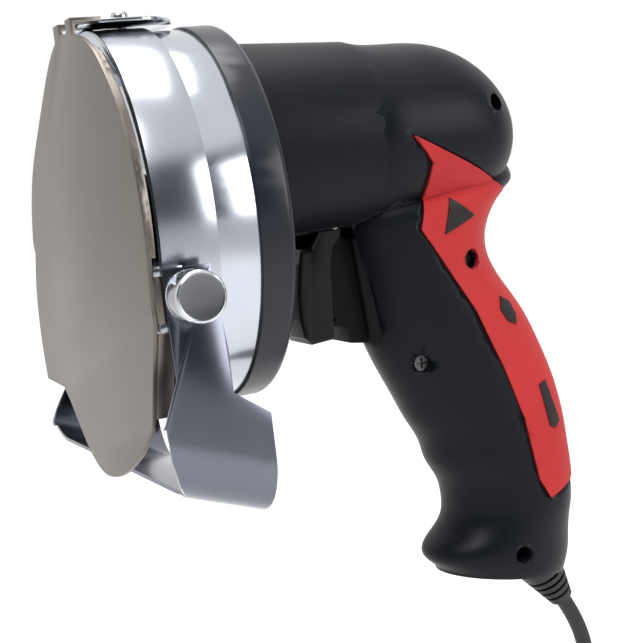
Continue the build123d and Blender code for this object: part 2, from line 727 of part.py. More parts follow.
with BuildPart() as slice_guard:
    with BuildSketch(Plane(origin=(guard_front, 0, 0), x_dir=(0, 1, 0), z_dir=(1, 0, 0))):
        with BuildLine():
            FilletPolyline(
                (-guard_half - sheet_t / 2, arm_top + 25),
                (-guard_half - sheet_t / 2, guard_low_front - sheet_t / 2),
                (guard_half + sheet_t / 2, guard_low_front - sheet_t / 2),
                (guard_half + sheet_t / 2, arm_top + 25),
                radius=guard_corner,
            )
            offset(amount=sheet_t / 2, side=Side.BOTH)
        make_face()
    extrude(amount=(guard_back - guard_front) * (1 + guard_slope**2) ** 0.5, dir=(1, 0, -guard_slope))
    with BuildSketch(side_plane()):
        with BuildLine():
            Polyline(*guard_side, close=True)
        make_face()
    extrude(amount=guard_half + 5, both=True, mode=Mode.INTERSECT)
    with BuildSketch(side_plane(y=-guard_half - 5)):
        with BuildLine():
            Polyline(*near_front, close=True)
        make_face()
    extrude(amount=-(5 + guard_corner + 3), mode=Mode.SUBTRACT)
    with BuildSketch(level_plane(-30)):
        with BuildLine():
            Polyline((-160, 80), (guard_front + 1, 80), (guard_front + 1, guard_half - 6), (-117.4, -42), (-117.4, -48),
                     (-160, -48), close=True)
        make_face()
    extrude(amount=30 + guard_floor_z + 5, mode=Mode.SUBTRACT)
    with BuildSketch(side_plane(knob_axis_x, knob_z)):
        Circle(stud_r + 0.15)
    extrude(amount=guard_half + 5, both=True, mode=Mode.SUBTRACT)
write(slice_guard.part, "slice_guard")

# ---------------------------------------------------------------- guide plate, its strap and hinge
crease_z = 24.3            # fold line of the plate's lower tongue
tongue_bend = 12.0         # forward lean of the tongue, degrees
knuckle_r = 1.7
tab_low = hinge_z - hinge_h / 2
tab_high = hinge_z + hinge_h / 2
strap_z = axis_z + band_r + strap_gap
near_edge = [(-10.0, 133.6), (-24.0, 131.4), (-36.5, 126.4), (-45.5, 117.9), (-52.3, 108.7), (-57.0, 97.7), (-59.0, 88.0),
             (-59.6, 79.0), (-59.0, 70.0), (-58.0, 62.0)]
tongue_plane = Plane(
    origin=(guide_x, 0, crease_z), x_dir=(0, 1, 0),
    z_dir=(cos(radians(tongue_bend)), 0, -sin(radians(tongue_bend))),
)
with BuildPart() as plate:
    with BuildSketch(rear_plane(guide_x, 0)):
        with BuildLine():
            Spline(*near_edge)
            Line(near_edge[-1], (-57.0, 52.0))
            Line((-57.0, 52.0), (-45.4, crease_z))
            Line((-45.4, crease_z), (34.0, crease_z))
            Line((34.0, crease_z), (38.0, 27.6))
            Line((38.0, 27.6), (57.4, 28.6))
            Spline((57.4, 28.6), (58.6, 42.0), (57.0, 56.0), (52.6, 67.6))
            Line((52.6, 67.6), (50.8, 71.6))
            Line((50.8, 71.6), (51.8, 74.4))
            Spline((51.8, 74.4), (48.6, 83.5), (41.4, 95.6), (28.6, 108.0), (15.4, 119.0), (4.0, 127.6), near_edge[0])
        make_face()
    extrude(amount=-sheet_t)
    with BuildSketch(tongue_plane):
        with BuildLine():
            Line((-45.4, 0), (34.0, 0))
            Line((34.0, 0), (15.0, -10.0))
            Spline((15.0, -10.0), (-1.0, -16.6), (-10.0, -18.2), (-19.0, -17.4), (-31.0, -12.8), (-39.5, -7.4))
            Line((-39.5, -7.4), (-45.4, 0))
        make_face()
    extrude(amount=-sheet_t)
    with BuildSketch(rear_plane(guide_x, 0)):
        with Locations((-19.0, strap_z - 4.4), (-7.0, strap_z - 4.4)):
            Rectangle(5, 2 * (4.4 + sheet_t))
    extrude(amount=-sheet_t)
    with Locations((guide_x - sheet_t, -19.0, strap_z), (guide_x - sheet_t, -7.0, strap_z)):
        Box(9, 5, sheet_t, align=(Align.MIN, Align.CENTER, Align.MIN))
    with Locations((guide_x - sheet_t, hinge_y, tab_low)):
        Box(sheet_t + 0.6, 3.2, hinge_h, align=(Align.MIN, Align.MIN, Align.MIN))
    with BuildSketch(level_plane(tab_low, hinge_x, hinge_y)):
        Circle(knuckle_r)
    extrude(amount=hinge_h)
    with BuildSketch(level_plane(tab_low, hinge_x, hinge_y)):
        Circle(pin_r + 0.08)
    extrude(amount=hinge_h, mode=Mode.SUBTRACT)
    with BuildSketch(rear_plane(guide_x, 0)):
        with BuildLine():
            Polyline((-57.0, tab_low - 2.6), (-55.8, tab_low - 2.6), (-45.4, 26.6), (-46.6, 26.6), close=True)
        make_face()
    extrude(amount=4.6)
    with BuildSketch(rear_plane(guide_x, 0)):
        with BuildLine():
            Spline(*near_edge[2:9])
            Line(near_edge[8], (near_edge[8][0] + 1.0, near_edge[8][1]))
            Spline((near_edge[8][0] + 1.0, near_edge[8][1]), *[(y + 1.0, z - 0.4) for y, z in near_edge[7:2:-1]],
                   (near_edge[2][0] + 0.8, near_edge[2][1] - 0.9))
            Line((near_edge[2][0] + 0.8, near_edge[2][1] - 0.9), near_edge[2])
        make_face()
    extrude(amount=1.2)
swing = Location((hinge_x, hinge_y, 0)) * Rotation(0, 0, guide_open) * Location((-hinge_x, -hinge_y, 0))
write(swing * plate.part, "guide_plate")

slot_travel = abs(hinge_y) * sin(radians(guide_open))
with BuildPart() as top_strap:
    with BuildSketch(level_plane(strap_z)):
        with BuildLine():
            Line((-121.5, -strap_half), (-104.0, -strap_half))
            Spline((-104.0, -strap_half), (-95.5, -12.0), (-91.3, 0), (-95.5, 12.0), (-104.0, strap_half))
            Line((-104.0, strap_half), (-121.5, strap_half))
            Line((-121.5, strap_half), (-121.5, -strap_half))
        make_face()
        with Locations((strap_screw_x - slot_travel / 2, 0.6)):
            RectangleRounded(slot_travel + 2 * strap_screw_r + 1.4, 2 * strap_screw_r + 2.6, 1.8, mode=Mode.SUBTRACT)
    extrude(amount=sheet_t)
    add(swing * plate.part, mode=Mode.SUBTRACT)
write(top_strap.part, "top_strap")

strap_top = strap_z + sheet_t
with BuildPart() as strap_washer:
    with BuildSketch(level_plane(strap_top + 0.08, strap_screw_x)):
        Circle(4.4)
        Circle(strap_screw_r, mode=Mode.SUBTRACT)
    extrude(amount=0.8)
write(strap_washer.part, "strap_washer")

with BuildPart() as strap_screw:
    with BuildSketch(level_plane(axis_z + drum_in_r - 1, strap_screw_x)):
        Circle(strap_screw_r)
    extrude(amount=strap_top + 0.88 - axis_z - drum_in_r + 1)
    with BuildSketch(level_plane(strap_top + 0.88, strap_screw_x)):
        Circle(2.6)
    extrude(amount=3.2)
    fillet(strap_screw.faces().sort_by(Axis.Z)[-1].edges(), radius=1.4)
write(strap_screw.part, "strap_screw")

with BuildPart() as hinge_bracket:
    for low in (tab_low - 2.2, tab_high + 0.2):
        with Locations((hinge_x - 1.3, hinge_y - 1.5, low)):
            Box(7.7, 8, 2.0, align=(Align.MIN, Align.MIN, Align.MIN))
    with Locations((drum_front, hinge_y - 1.5, tab_low - 2.2)):
        Box(3.7, 8, hinge_h + 4.4, align=(Align.MIN, Align.MIN, Align.MIN))
    with BuildSketch(rear_plane(drum_front)):
        Circle(band_r)
    extrude(amount=band_len, mode=Mode.SUBTRACT)
    with BuildSketch(rear_plane(drum_front - 10)):
        Circle(drum_in_r)
    extrude(amount=11, mode=Mode.SUBTRACT)
    with BuildSketch(level_plane(0, hinge_x, hinge_y)):
        Circle(pin_r)
    extrude(amount=90, mode=Mode.SUBTRACT)
    with BuildSketch(side_plane(knob_axis_x, knob_z)):
        Circle(post_r)
    extrude(amount=70, mode=Mode.SUBTRACT)
write(hinge_bracket.part, "hinge_bracket")

with BuildPart() as hinge_pin:
    with BuildSketch(level_plane(tab_low - 2.6, hinge_x, hinge_y)):
        Circle(pin_r)
    extrude(amount=hinge_h + 5.2)
write(hinge_pin.part, "hinge_pin")

# ---------------------------------------------------------------- trigger, its boot, spring and switch
paddle_front = [
    (-57.5, 63.8), (-61.2, 63.2), (-62.4, 58.0), (-63.7, 50.0), (-63.9, 42.0), (-63.0, 36.4), (-60.8, 34.0), (-53.6, 34.6),
]
paddle_back = [(-52.8, 45.0), (-52.0, 58.0), (-50.5, 63.8)]
arm_outline = [(-53.4, 61.0), (-47.8, 66.5), (-46.8, 70.5), (-50.0, 73.6), (-53.2, 70.5), (-57.5, 63.8), (-57.0, 61.0)]
with BuildPart() as trigger:
    with BuildSketch(side_plane()):
        with BuildLine():
            Polyline(*paddle_front, *paddle_back, close=True)
        make_face()
    extrude(amount=trigger_half, both=True)
    fillet(trigger.edges().filter_by(Axis.Y).sort_by(Axis.X)[:3], radius=1.2)
    fillet([e for e in trigger.edges() if e.center().X < -57 and abs(abs(e.center().Y) - trigger_half) < 0.01], radius=1.3)
    with BuildSketch(side_plane()):
        with BuildLine():
            Polyline(*paddle_front, *paddle_back, close=True)
        make_face()
        offset(amount=-trigger_wall)
    extrude(amount=trigger_half - trigger_wall, both=True, mode=Mode.SUBTRACT)
    with BuildSketch(side_plane()):
        with BuildLine():
            Polyline((-50.0, 62.2), (-58.5, 62.2), (-59.5, 36.2), (-50.0, 36.2), close=True)
        make_face()
    extrude(amount=trigger_half - trigger_wall, both=True, mode=Mode.SUBTRACT)
    with BuildSketch(side_plane()):
        with BuildLine():
            Polyline(*arm_outline, close=True)
        make_face()
    extrude(amount=trigger_half, both=True)
    with BuildSketch(side_plane()):
        with BuildLine():
            Polyline((-42.0, 61.0), (-58.2, 61.0), (-59.0, 76.0), (-42.0, 76.0), close=True)
        make_face()
    extrude(amount=trigger_half - trigger_wall, both=True, mode=Mode.SUBTRACT)
    with BuildSketch(side_plane(trigger_pin_x, trigger_pin_z)):
        Circle(trigger_pin_r + run_clear)
    extrude(amount=trigger_half, both=True, mode=Mode.SUBTRACT)
write(trigger.part, "trigger")

write(disc(side_plane(trigger_pin_x, trigger_pin_z, pin_reach), trigger_pin_r, 2 * pin_reach), "trigger_pin")

spring_r = 2.7
with BuildPart() as trigger_spring:
    with BuildSketch(side_plane(trigger_pin_x, trigger_pin_z)):
        Circle(spring_r)
        Circle(trigger_pin_r, mode=Mode.SUBTRACT)
    extrude(amount=4, both=True)
    with Locations((trigger_pin_x + spring_r - 0.6, 0, trigger_pin_z)):
        Box(1.0, 8, 4.0, align=(Align.CENTER, Align.CENTER, Align.MIN))
    with Locations((trigger_pin_x, 0, trigger_pin_z)):
        Cylinder(trigger_pin_r, 20, rotation=(90, 0, 0), mode=Mode.SUBTRACT)
write(trigger_spring.part, "trigger_spring")

plunger_z = 52.0
plunger_r = 2.0
switch_x = -33.6
switch_len = 17.4
switch_low = 37.5
switch_high = 62.5
boot_half = trigger_half - trigger_wall - 0.5
with BuildPart() as trigger_boot:
    with BuildSketch(side_plane()):
        with BuildLine():
            Polyline((-55.8, 63.0), (-48.0, 66.6), (-41.4, 64.0), (-37.4, 33.2), (-39.2, 31.2), (-47.2, 32.4),
                     (-48.0, 37.8), (-52.6, 38.6), close=True)
        make_face()
    extrude(amount=boot_half, both=True)
    with BuildSketch(side_plane()):
        with BuildLine():
            Polyline((-44.0, 65.4), (-41.4, 64.0), (-37.4, 33.2), (-39.2, 31.2), (-41.4, 31.6), close=True)
        make_face()
    extrude(amount=trigger_half + 1.0, both=True)
    for step in range(6):
        with Locations((-51.6 - step * 0.2, 0, 40.4 + step * 4.2)):
            Box(12, 2 * boot_half + 2, 1.4, align=(Align.MAX, Align.CENTER, Align.CENTER), mode=Mode.SUBTRACT)
    with BuildSketch(rear_plane(-60, plunger_z)):
        Circle(plunger_r + 0.3)
    extrude(amount=40, mode=Mode.SUBTRACT)
write(trigger_boot.part, "trigger_boot")

with BuildPart() as switch_body:
    with Locations((switch_x, 0, (switch_low + switch_high) / 2)):
        Box(switch_len, 14, switch_high - switch_low, align=(Align.MIN, Align.CENTER, Align.CENTER))
    with BuildSketch(rear_plane(switch_x, plunger_z)):
        Circle(plunger_r + run_clear)
    extrude(amount=9, mode=Mode.SUBTRACT)
write(switch_body.part, "switch_body")

plunger_tip = -61.0
write(disc(rear_plane(plunger_tip, plunger_z), plunger_r, switch_x + 5.5 - plunger_tip), "switch_plunger")

with BuildPart() as capacitor:
    with Locations((switch_x + switch_len, 0, 42.6)):
        Box(6, 8, 10, align=(Align.MIN, Align.CENTER, Align.CENTER))
write(capacitor.part, "suppression_capacitor")


def lead(points, radius, bends):
    """A round lead along straight runs joined by bends."""
    with BuildPart() as strand:
        with BuildLine() as path:
            FilletPolyline(*points, radius=bends)
        start = path.line
        with BuildSketch(Plane(origin=start @ 0, z_dir=start % 0)):
            Circle(radius)
        sweep()
    return strand.part


lead_r = 0.8
inner_leads = Part()
for side in (-1, 1):
    down = [(-18.4, side * 2, switch_low), (-18.4, side * 2, 26), (-1, side * 2, -20), (9.6, side * 2, -42.4)]
    upward = [(-26, side * 4, switch_high), (-26, side * 4, 68), (-19.4, side * 4, 72.5), (-19.4, side * 12, 84)]
    inner_leads = inner_leads + lead(down, lead_r, [8, 20])
    inner_leads = inner_leads + lead(upward, lead_r, [3, 3])
write(inner_leads, "internal_leads")

# ---------------------------------------------------------------- strain relief, mains lead, hank and plug
relief_tip = 19.4
cord_r = cord_d / 2
with BuildPart() as strain_relief:
    with BuildSketch(relief_seat.offset(-12)):
        Circle(relief_r)
    extrude(amount=14)
    with BuildSketch(relief_seat.offset(-2)):
        Circle(9.6)
    with BuildSketch(relief_seat.offset(relief_tip)):
        Circle(cord_r + 1.4)
    loft()
    for step in range(4):
        with BuildSketch(relief_seat.offset(6.6 + 3.0 * step)):
            Circle(12)
            Circle(6.2 - 0.7 * step - 1.0, mode=Mode.SUBTRACT)
        extrude(amount=1.1, mode=Mode.SUBTRACT)
relief_body = strain_relief.part - grip_form(0) - other_side(grip_form(0)) + disc(relief_seat.offset(-12), relief_r, 14)
write(relief_body, "strain_relief")

cord_start = relief_seat.offset(relief_tip).origin
first_bend = relief_seat.offset(relief_tip + 10.0).origin
hank_x = 34.4
hank_top = -112.0
cord_points = [
    (cord_start.X, 0, cord_start.Z), (first_bend.X, 0, first_bend.Z), (hank_x, 0, -95.0), (hank_x, 0, hank_top),
]
cord_bends = [24.0, 60.0]
mains_cord = lead(cord_points, cord_r, cord_bends)
write(mains_cord, "mains_cord")
print("lead bends", cord_bends, "volume", round(mains_cord.volume), "section", round(3.14159 * cord_r**2, 2))

loop_r = hank_turn_r + cord_r + 0.4
stub = 1.5
loop_top = hank_top - stub - loop_r
loop_low = loop_top - hank_run
waist_z = (loop_top + loop_low) / 2
waist_half = 8.6
hank_low = loop_low - loop_r - stub
hank_near = -cord_r - 0.4
hank_far = hank_turns * hank_pitch + cord_r + 0.4
hank_deep = hank_far - hank_near
far_y = hank_turns * hank_pitch
with BuildPart() as cord_hank:
    with BuildSketch(side_plane(hank_x, 0, hank_near)):
        with Locations((0, loop_top), (0, loop_low)):
            Circle(loop_r)
        with BuildLine():
            Polyline((-loop_r + 0.6, loop_top - 4), (-waist_half, waist_z + 7), (-waist_half, waist_z - 7),
                     (-loop_r + 0.6, loop_low + 4), (loop_r - 0.6, loop_low + 4), (waist_half, waist_z - 7),
                     (waist_half, waist_z + 7), (loop_r - 0.6, loop_top - 4), close=True)
        make_face()
    extrude(amount=-hank_deep)
    fillet(cord_hank.faces().filter_by(Axis.Y).edges(), radius=2.4)
    with BuildSketch(level_plane(hank_top, hank_x)):
        Circle(cord_r)
    extrude(amount=-8)
    with BuildSketch(level_plane(hank_low, hank_x, far_y)):
        Circle(cord_r)
    extrude(amount=8)
write(cord_hank.part, "cord_hank")

with BuildPart() as cord_tie:
    with BuildSketch(level_plane(waist_z - 3.5, hank_x, (hank_near + hank_far) / 2)):
        Rectangle(2 * waist_half + 3, hank_deep + 3)
        Rectangle(2 * waist_half, hank_deep, mode=Mode.SUBTRACT)
    extrude(amount=7)
write(cord_tie.part, "cord_tie")

plug_top = hank_low - 30.0
write(disc(level_plane(plug_top, hank_x, far_y), cord_r, hank_low - plug_top), "plug_lead")

with BuildPart() as plug:
    with BuildSketch(level_plane(plug_top - plug_h, hank_x, far_y)):
        RectangleRounded(plug_w, plug_t, 6)
    extrude(amount=20)
    with BuildSketch(level_plane(plug_top - plug_h + 20, hank_x, far_y)):
        RectangleRounded(plug_w, plug_t, 6)
    with BuildSketch(level_plane(plug_top, hank_x, far_y)):
        RectangleRounded(11, 10, 4)
    loft()
    with BuildSketch(level_plane(plug_top - plug_h, hank_x, far_y)):
        with Locations((-plug_pin_gap / 2, 0), (plug_pin_gap / 2, 0)):
            Circle(plug_root_r)
    extrude(amount=8, mode=Mode.SUBTRACT)
write(plug.part, "mains_plug")

with BuildPart() as plug_pins:
    with BuildSketch(level_plane(plug_top - plug_h - 0.1, hank_x, far_y)):
        with Locations((-plug_pin_gap / 2, 0), (plug_pin_gap / 2, 0)):
            Circle(plug_root_r)
    extrude(amount=8.1)
    with BuildSketch(level_plane(plug_top - plug_h - 0.1, hank_x, far_y)):
        with Locations((-plug_pin_gap / 2, 0), (plug_pin_gap / 2, 0)):
            Circle(plug_pin_r)
    extrude(amount=0.1 - plug_pin_len)
    fillet(plug_pins.faces().sort_by(Axis.Z)[:2].edges(), radius=1.0)
write(plug_pins.part, "plug_pins")
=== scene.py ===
"""Hand-held meat slicer: finishes, lead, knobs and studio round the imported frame.

Metres, in the frame of the CAD part.
"""
import json
from math import cos, pi, radians, sin

import bpy
from mathutils import Matrix, Vector


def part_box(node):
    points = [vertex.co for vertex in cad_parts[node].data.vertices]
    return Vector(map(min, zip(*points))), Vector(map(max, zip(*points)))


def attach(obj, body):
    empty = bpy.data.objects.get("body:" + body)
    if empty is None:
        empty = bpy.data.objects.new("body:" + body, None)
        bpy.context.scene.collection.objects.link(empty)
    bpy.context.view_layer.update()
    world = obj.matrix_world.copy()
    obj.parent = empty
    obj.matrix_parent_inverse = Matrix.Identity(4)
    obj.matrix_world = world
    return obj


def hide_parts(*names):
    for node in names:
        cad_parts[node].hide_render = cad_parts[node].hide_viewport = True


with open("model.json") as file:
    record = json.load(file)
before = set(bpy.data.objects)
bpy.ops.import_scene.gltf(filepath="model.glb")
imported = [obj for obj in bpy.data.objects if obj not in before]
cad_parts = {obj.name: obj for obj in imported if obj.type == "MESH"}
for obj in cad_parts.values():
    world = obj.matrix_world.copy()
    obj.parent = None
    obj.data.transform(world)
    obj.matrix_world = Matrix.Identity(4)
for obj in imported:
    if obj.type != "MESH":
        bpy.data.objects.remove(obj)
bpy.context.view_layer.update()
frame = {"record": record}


# ------------------------------------------------------------------ camera
turn, rise, roll = radians(22), radians(6.5), radians(-6.7)
aim = Vector((-0.055, 0, 0.040))
camera_distance = 0.400
lens = 69.9844
film = 36
back = Vector((-sin(turn) * cos(rise), -cos(turn) * cos(rise), sin(rise)))
right = (-back).cross(Vector((0, 0, 1))).normalized()
up = right.cross(-back)
right_rolled = cos(roll) * right + sin(roll) * up
up_rolled = -sin(roll) * right + cos(roll) * up
bpy.ops.object.camera_add()
camera = bpy.context.object
camera.name = "studio_camera"
place = Matrix((right_rolled, up_rolled, back)).transposed().to_4x4()
place.translation = aim + back * camera_distance
camera.matrix_world = place
camera.data.lens = lens
camera.data.sensor_width = film
camera.data.clip_start = 0.01
bpy.context.scene.camera = camera


# ------------------------------------------------------------------ materials
class Finish:
    """A material whose patterns run on Object coordinates."""

    def __init__(self, name, colour, rough, metal=0.0):
        self.material = bpy.data.materials.new(name)
        self.material.use_nodes = True
        self.tree = self.material.node_tree
        self.shader = self.tree.nodes["Principled BSDF"]
        self.shader.inputs["Metallic"].default_value = metal
        self.colour = colour
        self.rough = rough
        self.coords = self.tree.nodes.new("ShaderNodeTexCoord")
        self.bumps = []

    def mapped(self, stretch):
        """Object coordinates stretched by a factor along each axis."""
        node = self.tree.nodes.new("ShaderNodeMapping")
        node.inputs["Scale"].default_value = stretch
        self.tree.links.new(self.coords.outputs["Object"], node.inputs["Vector"])
        return node.outputs["Vector"]

    def noise(self, scale, detail=3.0, stretch=(1, 1, 1)):
        """A noise pattern."""
        node = self.tree.nodes.new("ShaderNodeTexNoise")
        node.inputs["Scale"].default_value = scale
        node.inputs["Detail"].default_value = detail
        self.tree.links.new(self.mapped(stretch), node.inputs["Vector"])
        return node.outputs["Fac"]

    def cells(self, scale, stretch=(1, 1, 1)):
        """A leather-like cell pattern."""
        node = self.tree.nodes.new("ShaderNodeTexVoronoi")
        node.inputs["Scale"].default_value = scale
        self.tree.links.new(self.mapped(stretch), node.inputs["Vector"])
        return node.outputs["Distance"]

    def ranged(self, value, low, high, start=0.3, end=0.7):
        """A pattern turned into a range of values."""
        node = self.tree.nodes.new("ShaderNodeMapRange")
        node.inputs["From Min"].default_value = start
        node.inputs["From Max"].default_value = end
        node.inputs["To Min"].default_value = low
        node.inputs["To Max"].default_value = high
        self.tree.links.new(value, node.inputs["Value"])
        return node.outputs["Result"]

    def tone(self, pattern, spread):
        """Colour a little darker and lighter with a pattern."""
        node = self.tree.nodes.new("ShaderNodeMix")
        node.data_type = "RGBA"
        node.inputs["A"].default_value = (*[c * (1 - spread) for c in self.colour], 1)
        node.inputs["B"].default_value = (*[min(1, c * (1 + spread)) for c in self.colour], 1)
        self.tree.links.new(pattern, node.inputs["Factor"])
        self.tree.links.new(node.outputs["Result"], self.shader.inputs["Base Color"])
        return node

    def gloss(self, pattern, spread):
        """Roughness that changes with a pattern."""
        low = max(0.02, self.rough - spread)
        self.tree.links.new(self.ranged(pattern, low, self.rough + spread), self.shader.inputs["Roughness"])

    def relief(self, pattern, strength, depth):
        """One more layer of bump."""
        node = self.tree.nodes.new("ShaderNodeBump")
        node.inputs["Strength"].default_value = strength
        node.inputs["Distance"].default_value = depth
        self.tree.links.new(pattern, node.inputs["Height"])
        if self.bumps:
            self.tree.links.new(self.bumps[-1].outputs["Normal"], node.inputs["Normal"])
        self.bumps.append(node)
        self.tree.links.new(node.outputs["Normal"], self.shader.inputs["Normal"])


def polished(name, colour, rough, grain=(1, 1, 1), streak=0.05):
    """Polished sheet with faint lines of polishing, smears and a slow waviness."""
    f = Finish(name, colour, rough, 1.0)
    lines = f.noise(900, 2.0, grain)
    smear = f.noise(26, 4.0)
    f.tone(smear, 0.07)
    f.gloss(smear, 0.03)
    f.relief(lines, streak, 0.00002)
    f.relief(f.noise(14, 1.0), 0.03, 0.002)
    return f.material


def moulded(name, colour, rough, grain=2600, strength=0.25, spread=0.06, sheen=0.5):
    """Moulded plastic or rubber with a fine spark-eroded grain and slight handling shine."""
    f = Finish(name, colour, rough)
    f.shader.inputs["Specular IOR Level"].default_value = sheen
    worn = f.noise(22, 3.0)
    f.tone(f.noise(55, 5.0), spread)
    f.gloss(worn, 0.06)
    f.relief(f.cells(grain), strength, 0.00006)
    f.relief(f.noise(grain * 0.4, 4.0), strength, 0.00005)
    return f.material


def coated(name, colour, rough):
    """Satin paint or anodising with a soft orange-peel."""
    f = Finish(name, colour, rough)
    f.shader.inputs["Specular IOR Level"].default_value = 0.3
    f.tone(f.noise(40, 4.0), 0.10)
    f.gloss(f.noise(30, 3.0), 0.05)
    f.relief(f.noise(700, 3.0), 0.06, 0.00008)
    f.shader.inputs["Coat Weight"].default_value = 0.10
    f.shader.inputs["Coat Roughness"].default_value = 0.2
    return f.material


def machined(name, colour, rough, stretch=(1, 1, 1)):
    """Turned or ground metal with tool lines."""
    f = Finish(name, colour, rough, 1.0)
    lines = f.noise(1500, 2.0, stretch)
    f.tone(f.noise(60, 4.0), 0.12)
    f.gloss(lines, 0.08)
    f.relief(lines, 0.12, 0.00003)
    return f.material


steel_band = polished("polished_band", (0.46, 0.48, 0.525), 0.24, (20, 1, 1))
# Slice guard: polished steel whose dark bluish colour is a painted dark reflection, not the steel's own
# colour.
steel_guard_painted_dark_reflection = polished("polished_guard_painted_dark_reflection", (0.165, 0.172, 0.205), 0.20, (1, 1, 14))
# Guide plate: polished steel whose dark warm grey is a painted dark reflection, not the steel's own colour.
steel_plate_painted_dark_reflection = polished("polished_plate_painted_dark_reflection", (0.190, 0.169, 0.151), 0.38, (1, 1, 18))
steel_strap = polished("polished_strap", (0.60, 0.62, 0.66), 0.12)
steel_drum = machined("turned_drum", (0.52, 0.55, 0.60), 0.16, (30, 1, 1))
steel_blade = machined("ground_blade", (0.62, 0.63, 0.64), 0.18)
steel_screw = machined("zinc_screw", (0.5, 0.5, 0.52), 0.28)
dark_screw = machined("blackened_screw", (0.13, 0.13, 0.135), 0.34)
steel_gear = machined("oiled_gear", (0.34, 0.33, 0.32), 0.3)
knob_metal = machined("knurled_knob", (0.66, 0.67, 0.70), 0.22)
# The knob's chrome end face, darkened as a painted dark reflection.
knob_face_painted_dark_reflection = polished("knob_face_painted_dark_reflection", (0.24, 0.246, 0.26), 0.26)
black_shell = moulded("black_shell", (0.0032, 0.0045, 0.0072), 0.40, sheen=0.16)
black_cover = coated("black_cover", (0.010, 0.012, 0.019), 0.32)
red_grip = moulded("red_grip", (0.44, 0.030, 0.031), 0.55, 2200, 0.35, 0.10, 0.12)
dark_inlay = moulded("dark_inlay", (0.014, 0.009, 0.010), 0.5, 2200, 0.3, sheen=0.25)
olive_trigger = moulded("olive_trigger", (0.009, 0.0075, 0.0055), 0.46, sheen=0.18)
boot_rubber = moulded("boot_rubber", (0.003, 0.003, 0.004), 0.62, 3000, 0.4, sheen=0.12)
lead_rubber = moulded("lead_rubber", (0.010, 0.010, 0.011), 0.5, 3000, 0.35)
relief_rubber = moulded("relief_rubber", (0.011, 0.011, 0.012), 0.55, 2600, 0.35)
pale_plastic = moulded("pale_plastic", (0.40, 0.40, 0.38), 0.45)
ferrite = moulded("ferrite", (0.05, 0.05, 0.05), 0.7, 1200, 0.5)
copper = machined("copper", (0.72, 0.36, 0.20), 0.3)
pin_metal = machined("plated_pin", (0.72, 0.68, 0.58), 0.22)

nodes_of_finish = [
    (black_shell, ["housing_left", "housing_right", "mains_plug"]),
    (dark_screw, ["housing_screws"]),
    (red_grip, ["grip_insert_left", "grip_insert_right"]),
    (dark_inlay, ["grip_inlays_left", "grip_inlays_right"]),
    (black_cover, ["gearbox_cover"]),
    (steel_drum, ["drum", "blade_hub"]),
    (steel_band, ["blade_band"]),
    (steel_plate_painted_dark_reflection, ["guide_plate"]),
    (steel_strap, ["top_strap", "hinge_bracket"]),
    (steel_screw, ["strap_screw", "strap_washer", "hinge_pin", "knob_studs", "knob_washer_left",
        "knob_washer_right", "blade_nut", "spindle_bearing_front", "spindle_bearing_rear", "motor_can",
        "motor_end_plate", "motor_bearings", "drum_screws", "flange_screws", "trigger_pin"]),
    (steel_guard_painted_dark_reflection, ["slice_guard"]),
    (knob_metal, ["clamp_knob_left", "clamp_knob_right"]),
    (steel_blade, ["blade"]),
    (steel_gear, ["spindle", "drive_gear", "motor_pinion", "motor_shaft", "trigger_spring"]),
    (ferrite, ["motor_magnets", "armature", "carbon_brushes"]),
    (copper, ["commutator"]),
    (pale_plastic, ["cooling_fan", "switch_body", "switch_plunger", "suppression_capacitor"]),
    (olive_trigger, ["trigger"]),
    (boot_rubber, ["trigger_boot", "cord_tie"]),
    (lead_rubber, ["internal_leads", "mains_cord", "cord_hank", "plug_lead"]),
    (relief_rubber, ["strain_relief"]),
    (pin_metal, ["plug_pins"]),
]
for finish, nodes in nodes_of_finish:
    for node in nodes:
        data = bpy.data.objects[node].data
        data.materials.clear()
        data.materials.append(finish)

bodies = frame["record"]["behaviour"]["bodies"]
body_of_node = {node: body for body, nodes in bodies.items() for node in nodes}


# ------------------------------------------------------------------ finished copies of the visible CAD pieces
def edged(node, edge, smooth=32):
    """A merged copy of a CAD piece with its edges rounded off and its round faces smooth."""
    bpy.ops.object.select_all(action="DESELECT")
    source = bpy.data.objects[node]
    piece = bpy.data.objects.new(f"{node}_finished", source.data.copy())
    bpy.context.collection.objects.link(piece)
    bpy.context.view_layer.objects.active = piece
    piece.select_set(True)
    bpy.ops.object.mode_set(mode="EDIT")
    bpy.ops.mesh.select_all(action="SELECT")
    bpy.ops.mesh.remove_doubles(threshold=0.000002)
    bpy.ops.mesh.dissolve_limited(angle_limit=radians(0.5))
    bpy.ops.object.mode_set(mode="OBJECT")
    if edge:
        rounding = piece.modifiers.new("edge", "BEVEL")
        rounding.width = edge
        rounding.segments = 2
        rounding.limit_method = "ANGLE"
        rounding.angle_limit = radians(38)
        rounding.use_clamp_overlap = True
        bpy.ops.object.modifier_apply(modifier="edge")
    bpy.ops.object.shade_smooth_by_angle(angle=radians(smooth))
    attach(piece, body_of_node[node])
    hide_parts(node)
    return piece


sheet_edge = 0.0003
block_edge = 0.0004
edges = {
    "guide_plate": sheet_edge, "slice_guard": sheet_edge, "top_strap": sheet_edge, "blade_band": sheet_edge,
    "drum": block_edge, "gearbox_cover": sheet_edge, "hinge_bracket": sheet_edge, "strap_screw": 0.0002,
    "strap_washer": 0.0001, "trigger": 0.0, "trigger_boot": sheet_edge, "strain_relief": sheet_edge,
    "housing_left": 0.0, "housing_right": 0.0, "grip_insert_left": 0.0, "grip_insert_right": 0.0,
    "grip_inlays_left": 0.0, "grip_inlays_right": 0.0, "mains_plug": block_edge, "plug_pins": 0.0002,
    "cord_tie": block_edge, "knob_studs": 0.0002,
}
for node, edge in edges.items():
    edged(node, edge)


# ------------------------------------------------------------------ knurled clamp knobs
knob_around = 84
knurl_rows = 16
knurl_depth = 0.00026
face_edge = 0.0011


